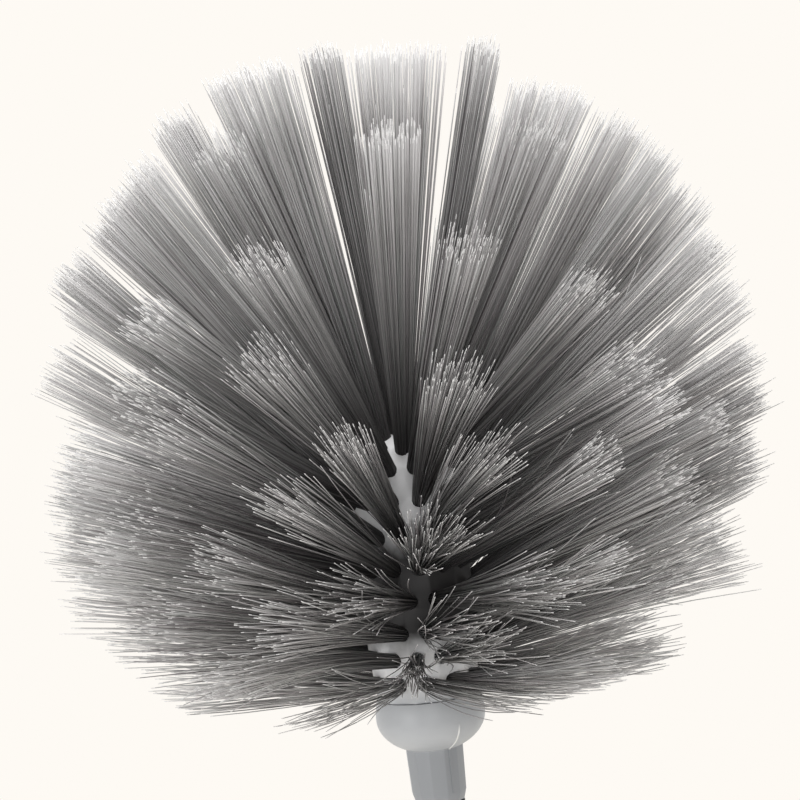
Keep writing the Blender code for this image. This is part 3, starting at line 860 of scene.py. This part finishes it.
class BROOM_OT_stage(bpy.types.Operator):
    """Makes the plain floor, the soft light and the camera"""

    bl_idname = "broom.stage"
    bl_label = "Stage"

    def execute(self, context):
        self.make_floor(context)
        self.make_surroundings(context)
        for name, values in lamps.items():
            self.make_lamp(name, *values)
        self.make_camera(context)
        return {"FINISHED"}

    def make_floor(self, context):
        deselect()
        place = (0, 0, -floor_drop)
        bpy.ops.mesh.primitive_circle_add(vertices=96, radius=floor_radius, fill_type="NGON", location=place)
        floor = context.object
        floor.name = "floor"
        edit_all()
        bpy.ops.mesh.inset(thickness=floor_rim)
        mode("OBJECT")
        finish = Finish("plain_floor", Roughness=0.7)
        grain = finish.noise(6.0, 2.0)
        colours = context.scene.broom_colours
        tint = finish.mix(grain * 0.15, colours.floor, colours.backdrop)
        far = finish.node("VectorMath", {0: finish.place()}, output=1, operation="LENGTH")
        rim = finish.ramp(far * 0.5, 0.45, 1.0, 1.0, 0.0)
        coat(floor, finish.feed(Base_Color=tint, Alpha=rim))

    def make_surroundings(self, context):
        """A plain backdrop. The object gets more light from behind than from the front."""
        world = bpy.data.worlds.new("pale_room")
        context.scene.world = world
        context.scene.view_settings.view_transform = "Standard"
        room = Shading(world)
        shown = room.tree.nodes["Background"]
        room.connect(shown.inputs["Color"], context.scene.broom_colours.backdrop)
        north = room.node("SeparateXYZ", {0: room.node("TexCoord", output="Generated")}, output=1)
        limits = {"From Min": -1.0, "To Min": dim_strength, "To Max": lit_strength}
        strength = room.node("MapRange", {"Value": north, **limits})
        soft = room.node("Background", {"Color": soft_light, "Strength": strength})
        seen = room.node("LightPath", output="Is Camera Ray")
        mix = room.node("MixShader", {0: seen, 1: soft, 2: Value(room, shown.outputs[0])})
        room.connect(room.tree.nodes["World Output"].inputs[0], mix)

    def make_lamp(self, name, east, north, up, size, power):
        lamp = bpy.data.lights.new(name, "AREA")
        lamp.size = size
        lamp.energy = power
        light = add_object(name, lamp)
        light.location = place = Vector((east, north, head_height + up))
        aim = Vector((0, 0, head_height + lamp_aim)) - place
        light.rotation_euler = aim.to_track_quat("-Z", "Y").to_euler()

    def make_camera(self, context):
        """Views the head a little from above, with the pole leaning to the left at its top."""
        ahead = Vector((0, cos(camera_down), -sin(camera_down)))
        level = Vector((0, sin(camera_down), cos(camera_down)))
        right = Vector((cos(camera_roll), 0, 0)) - level * sin(camera_roll)
        up = Vector((sin(camera_roll), 0, 0)) + level * cos(camera_roll)
        seen = Vector((0, 0, head_height + camera_aim))
        across, down = ((pixel / picture_size - 0.5) * view_width for pixel in aim_in_picture)
        place = seen - ahead * camera_distance - right * across + up * down
        data = bpy.data.cameras.new("camera")
        data.sensor_width = sensor_width
        data.lens = sensor_width * camera_distance / view_width
        camera = add_object("camera", data)
        camera.matrix_world = Matrix.Translation(place) @ Matrix((right, up, -ahead)).transposed().to_4x4()
        context.scene.camera = camera


class BROOM_OT_core(bpy.types.Operator):
    """Makes the twelve-sided core with its tuft holes"""

    bl_idname = "broom.core"
    bl_label = "Core"

    def execute(self, context):
        foot = head_height + ball_rise + core_lift
        floor, top = foot + core_floor, head_height + core_height - core_roof
        outside = [(ball_radius * cos(asin(ball_rise / ball_upper_depth)), foot)] + core_points
        inside = [(0, top), (core_bore, top), (core_bore, floor)]
        inside += [(screw_hole_radius, floor), (screw_hole_radius, foot)]
        core = lathe("core_moulding", outside[::-1] + inside[::-1], facet_count, facet_turn)
        soften(core, *core_edge)
        places = []
        for ring in range(len(tuft_rings)):
            for root, out, *_ in tuft_roots(ring):
                turn = Vector((0, 0, 1)).rotation_difference(out).to_matrix().to_4x4()
                places.append(Matrix.Translation(root + out * hole_lift) @ turn)
        drill(core, context.scene.broom_sizes.hole_radius, hole_length, 14, places)
        nodes = dict.fromkeys(tuft_nodes)
        finish_piece(smooth(core, 30.0), core_finish(), "pale_plastic", "head_section", *nodes)
        return {"FINISHED"}


class BROOM_OT_tuft_rows(bpy.types.Operator):
    """Makes the filaments of every row of tufts"""

    bl_idname = "broom.tuft_rows"
    bl_label = "Rows of tufts"

    def execute(self, context):
        for node in dict.fromkeys(tuft_nodes):
            row = filament_row(node, context.scene.broom_sizes)
            finish_piece(row, filament_finish(), "filament", "head_section", node)
        return {"FINISHED"}


class BROOM_OT_collar(bpy.types.Operator):
    """Makes the ball-shaped collar with its twelve-sided neck, socket and parting ridge"""

    bl_idname = "broom.collar"
    bl_label = "Collar and neck"

    def execute(self, context):
        middle, rim = (0, head_height), degrees(asin(ball_rise / ball_upper_depth))
        curve = arc(middle, ball_radius, rim, 0, 6, ball_upper_depth)[:-1]
        curve += arc(middle, ball_radius, 0, -90, 18, ball_depth)[:-1]
        outline = [(0, head_height + ball_rise)] + curve + [(0, head_height - ball_depth)]
        collar = lathe("collar_and_neck", outline, 96)
        top, foot = head_height - neck_overlap, head_height - neck_length
        neck_outline = [(0, top), (neck_top_radius, top), (neck_foot_radius, foot + neck_chamfer_height)]
        neck_outline += [(neck_foot_radius - neck_chamfer, foot), (0, foot)]
        neck = lathe("neck_form", neck_outline, facet_count, neck_turn)
        soften(neck, *neck_edge)
        combine(collar, neck, "UNION")
        combine(collar, self.parting_ridge(curve, foot + neck_chamfer_height), "UNION")
        bore = neck_foot_radius * cos(pi / facet_count) - neck_wall
        ceiling, below = head_height - socket_roof, foot - cutter_overrun
        socket = lathe("socket_form", [(0, ceiling), (bore, ceiling), (bore, below), (0, below)], 48)
        combine(collar, socket, "DIFFERENCE")
        # The neck's finish paints shade on it below this height
        finish = pale_moulding(head_height - painted_shade_depth)
        finish_piece(smooth(collar, 24.0), finish, "pale_plastic", "head_section", "collar_neck")
        return {"FINISHED"}

    def parting_ridge(self, curve, foot):
        """A thin blade whose edge stands out where the two halves of the mould met."""
        ball = [
            (radius + ridge_height, height)
            for radius, height in curve
            if radius > neck_top_radius and height < head_height
        ]
        flat = cos(pi / facet_count)
        neck = [(neck_top_radius * flat + ridge_height, ball[-1][1] - ridge_step)]
        neck += [(neck_foot_radius * flat + ridge_height, foot)]
        outline = [(ridge_inner_radius, ball[0][1])] + ball + neck + [(ridge_inner_radius, foot)]
        piece = draw("parting_ridge", outline)
        bpy.ops.mesh.edge_face_add()
        bpy.ops.transform.rotate(value=ridge_turn, orient_axis="Z", center_override=(0, 0, 0))
        mode("OBJECT")
        return modify(piece, "SOLIDIFY", thickness=ridge_width, offset=0.0)


class BROOM_OT_pole_tip(bpy.types.Operator):
    """Makes the pole tip and the rivet that holds it"""

    bl_idname = "broom.pole_tip"
    bl_label = "Pole tip and rivet"

    def execute(self, context):
        low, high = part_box("pole_tip")
        foot, top = low.z + spigot_length, low.z + stud_height
        stud = neck_foot_radius * cos(pi / facet_count) - neck_wall - seat_gap
        outline = [(0, high.z), (stud - stud_chamfer, high.z), (stud, high.z - stud_chamfer), (stud, top)]
        spigot = inner_tube_radius - tube_wall - seat_gap
        outline += [(waist_radius, top), (waist_radius, foot), (spigot, foot), (spigot, low.z), (0, low.z)]
        tip = lathe("pole_tip_moulding", outline, 64)
        across = crosswise(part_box("inner_tube")[1].z - rivet_drop, "Y")
        drill(tip, rivet_radius + seat_gap, cutter_length, 20, [across])
        soften(tip, *tip_edge)
        finish_piece(smooth(tip), dark_moulding(), "dark_plastic", "head_section", "pole_tip")
        self.make_rivet(across)
        return {"FINISHED"}

    def make_rivet(self, across):
        """A domed head at each end of the shank."""
        seat = inner_tube_radius + rivet_lift
        dome = arc((0, seat), rivet_head_radius, 0, 90, 8, rivet_dome)[:-1]
        outline = [(0, seat + rivet_dome)] + dome[::-1] + [(rivet_radius, seat), (rivet_radius, -seat)]
        outline += [(radius, -height) for radius, height in dome] + [(0, -seat - rivet_dome)]
        rivet = lathe("tip_rivet_domed", outline, 28)
        rivet.data.transform(across)
        finish_piece(smooth(rivet), steel_finish(), "steel", "head_section", "tip_rivet")


class BROOM_OT_tubes(bpy.types.Operator):
    """Makes the three tubes of the pole"""

    bl_idname = "broom.tubes"
    bl_label = "Tubes"

    def execute(self, context):
        tubes = (
            ("outer_tube", outer_tube_radius, painted_tube_finish, "painted_tube", "pole_base"),
            ("middle_tube", middle_tube_radius, bright_tube_finish, "bright_tube", "middle_section"),
            ("inner_tube", inner_tube_radius, bright_tube_finish, "bright_tube", "head_section"),
        )
        for node, radius, finish, slot, body in tubes:
            low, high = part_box(node)
            bore = radius - tube_wall
            outline = [(radius, high.z), (radius, low.z), (bore, low.z), (bore, high.z)]
            tube = lathe(node + "_drawn", outline, 72, closed=True)
            if node == "inner_tube":
                across = crosswise(high.z - rivet_drop, "Y")
                drill(tube, rivet_radius + seat_gap, cutter_length, 20, [across])
            soften(tube, *tube_edge)
            finish_piece(smooth(tube), finish(), slot, body, node)
        return {"FINISHED"}


def lock_sizes(place):
    """Radii of the carrying tube, the sliding tube and the lock body, and where the first of them ends."""
    if place == "lower":
        carrier, tube, node = outer_tube_radius, middle_tube_radius, "outer_tube"
    else:
        carrier, tube, node = middle_tube_radius, inner_tube_radius, "middle_tube"
    return carrier, tube, carrier + seat_gap + sleeve_wall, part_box(node)[1].z


class BROOM_OT_lock_bodies(bpy.types.Operator):
    """Makes the two lock bodies with their slotted fingers"""

    bl_idname = "broom.lock_bodies"
    bl_label = "Lock bodies"

    def execute(self, context):
        for place, section in (("lower", "pole_base"), ("upper", "middle_section")):
            self.make_body(place, section)
        return {"FINISHED"}

    def make_body(self, place, section):
        carrier, tube, body, height = lock_sizes(place)
        inner = tube + slide_gap
        outer = inner + finger_wall
        shoulder = seat_gap + shoulder_height
        groove, low_groove = body - snap_groove_depth, -snap_groove_drop - snap_groove_height
        top = shoulder + finger_length
        outline = [
            (outer, top), (outer + finger_taper, shoulder), (body, shoulder), (body, -snap_groove_drop),
            (groove, -snap_groove_drop), (groove, low_groove), (body, low_groove),
            (body, -sleeve_depth + sleeve_chamfer_height), (body - sleeve_chamfer, -sleeve_depth),
            (carrier + seat_gap, -sleeve_depth), (carrier + seat_gap, seat_gap), (inner, seat_gap),
            (inner, top),
        ]
        outline = [(radius, height + up) for radius, up in outline]
        lock = lathe(place + "_lock_moulding", outline, 72, closed=True)
        deselect()
        for turn in (0, pi / 2):
            middle = (0, 0, height + shoulder + finger_length / 2 + slot_lift)
            size = (cutter_length, slot_width, finger_length)
            bpy.ops.mesh.primitive_cube_add(size=1, scale=size, location=middle)
            slot = bpy.context.object
            slot.rotation_euler.z = turn
            bpy.ops.object.transform_apply()
            combine(lock, slot, "DIFFERENCE")
        soften(lock, *lock_edge)
        finish_piece(smooth(lock), dark_moulding(), "dark_plastic", section, place + "_lock_body")


class BROOM_OT_twist_collars(bpy.types.Operator):
    """Makes the two fluted twist collars"""

    bl_idname = "broom.twist_collars"
    bl_label = "Twist collars"

    def execute(self, context):
        for place in ("lower", "upper"):
            self.make_collar(place)
        return {"FINISHED"}

    def make_collar(self, place):
        _, tube, body, height = lock_sizes(place)
        node = place + "_twist_collar"
        low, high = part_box(node)
        bore = body + turn_gap
        outer = bore + collar_wall
        groove = body - snap_groove_depth
        clip, ledge = height - snap_groove_drop - turn_gap, high.z - collar_lip_height
        edge = outer - collar_rounding
        outline = arc((edge, high.z - collar_rounding), collar_rounding, 90, 0, 5)
        outline += arc((edge, low.z + collar_rounding), collar_rounding, 0, -90, 5)
        outline += [(groove + turn_gap, low.z), (groove + turn_gap, clip), (bore, clip), (bore, ledge)]
        outline += [(tube + 2 * slide_gap, ledge), (tube + 2 * slide_gap, high.z)]
        collar = lathe(node + "_fluted", outline, 120, closed=True)
        reach = outer - flute_depth + flute_radius
        places = [
            Matrix.Rotation(2 * pi * (flute + 0.5) / flute_count, 4, "Z")
            @ Matrix.Translation((reach, 0, (low.z + high.z) / 2))
            for flute in range(flute_count)
        ]
        drill(collar, flute_radius, high.z - low.z + cutter_overrun, 28, places)
        soften(collar, *twist_edge)
        finish_piece(smooth(collar, 30.0), pale_moulding(), "pale_plastic", place + "_collar", node)


class BROOM_OT_grip(bpy.types.Operator):
    """Makes the foamed grip with its finger grooves"""

    bl_idname = "broom.grip"
    bl_label = "Grip"

    def execute(self, context):
        low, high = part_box("grip_sleeve")
        inner = outer_tube_radius + seat_gap
        outer = inner + grip_wall
        pitch = (high.z - low.z) / (groove_count + 1)
        edge = outer - grip_rounding
        outline = arc((edge, high.z - grip_rounding), grip_rounding, 90, 0, 6)
        for groove in range(groove_count, 0, -1):
            for step in range(groove_steps + 1):
                share = step / groove_steps - 0.5
                dip = groove_depth * cos(pi * share) ** 2
                outline.append((outer - dip, low.z + groove * pitch - share * groove_height))
        outline += arc((edge, low.z + grip_rounding), grip_rounding, 0, -90, 6)
        grip = lathe("grip_foam", outline + [(inner, low.z), (inner, high.z)], 96, closed=True)
        finish_piece(smooth(grip, 50.0), soft_grip_finish(), "soft_grip", "pole_base", "grip_sleeve")
        return {"FINISHED"}


class BROOM_OT_end_cap(bpy.types.Operator):
    """Makes the end cap with its hole to hang the broom by"""

    bl_idname = "broom.end_cap"
    bl_label = "End cap"

    def execute(self, context):
        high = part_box("end_cap")[1].z
        spigot = outer_tube_radius - tube_wall - seat_gap
        middle = (cap_radius - cap_rounding, cap_height - cap_rounding)
        outline = [(0, high), (spigot, high), (spigot, cap_height)]
        outline += arc(middle, cap_rounding, 90, 0, 8)
        outline += arc((cap_foot_radius, cap_rounding), cap_radius - cap_foot_radius, 0, -90, 8, cap_rounding)
        cap = lathe("end_cap_moulding", outline + [(0, 0)], 80)
        drill(cap, hang_hole_radius, cutter_length, 40, [crosswise(hang_hole_height, "X")])
        soften(cap, *cap_edge)
        finish_piece(smooth(cap, 40.0), dark_moulding(), "dark_plastic", "pole_base", "end_cap")
        return {"FINISHED"}


class BROOM_OT_carried_solids(bpy.types.Operator):
    """Gives the small pieces that stay as solids their materials"""

    bl_idname = "broom.carried_solids"
    bl_label = "Small solids"

    def execute(self, context):
        carried = (
            (white_moulding, "lower_wedge_ring", "upper_wedge_ring"),
            (dark_moulding, "middle_stop_bush", "inner_stop_bush"),
            (steel_finish, "head_screw", "screw_washer"),
        )
        for finish, *nodes in carried:
            for node in nodes:
                coat(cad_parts[node], finish())
        return {"FINISHED"}


class BROOM_PT_panel(bpy.types.Panel):
    """Lists the sizes, the colours and the pieces of the broom"""

    bl_idname = "BROOM_PT_panel"
    bl_label = "Dome cobweb broom"
    bl_space_type = "VIEW_3D"
    bl_region_type = "UI"
    bl_category = "Broom"

    def draw(self, context):
        column = self.layout.column()
        for step in steps:
            column.operator(step.bl_idname)
        for group in (context.scene.broom_sizes, context.scene.broom_colours):
            for name in group.bl_rna.properties.keys():
                if name not in ("rna_type", "name"):
                    column.prop(group, name)


steps = (
    BROOM_OT_stage,
    BROOM_OT_core,
    BROOM_OT_tuft_rows,
    BROOM_OT_collar,
    BROOM_OT_pole_tip,
    BROOM_OT_tubes,
    BROOM_OT_lock_bodies,
    BROOM_OT_twist_collars,
    BROOM_OT_grip,
    BROOM_OT_end_cap,
    BROOM_OT_carried_solids,
)


def register():
    for kind in (BroomSizes, BroomColours, *steps, BROOM_PT_panel):
        bpy.utils.register_class(kind)
    bpy.types.Scene.broom_sizes = bpy.props.PointerProperty(type=BroomSizes)
    bpy.types.Scene.broom_colours = bpy.props.PointerProperty(type=BroomColours)


def unregister():
    del bpy.types.Scene.broom_sizes
    del bpy.types.Scene.broom_colours
    for kind in (BROOM_PT_panel, *reversed(steps), BroomColours, BroomSizes):
        bpy.utils.unregister_class(kind)


def main():
    register()
    bpy.ops.broom.stage()
    bpy.ops.broom.core()
    bpy.ops.broom.tuft_rows()
    bpy.ops.broom.collar()
    bpy.ops.broom.pole_tip()
    bpy.ops.broom.tubes()
    bpy.ops.broom.lock_bodies()
    bpy.ops.broom.twist_collars()
    bpy.ops.broom.grip()
    bpy.ops.broom.end_cap()
    bpy.ops.broom.carried_solids()


if __name__ == "__main__":
    main()
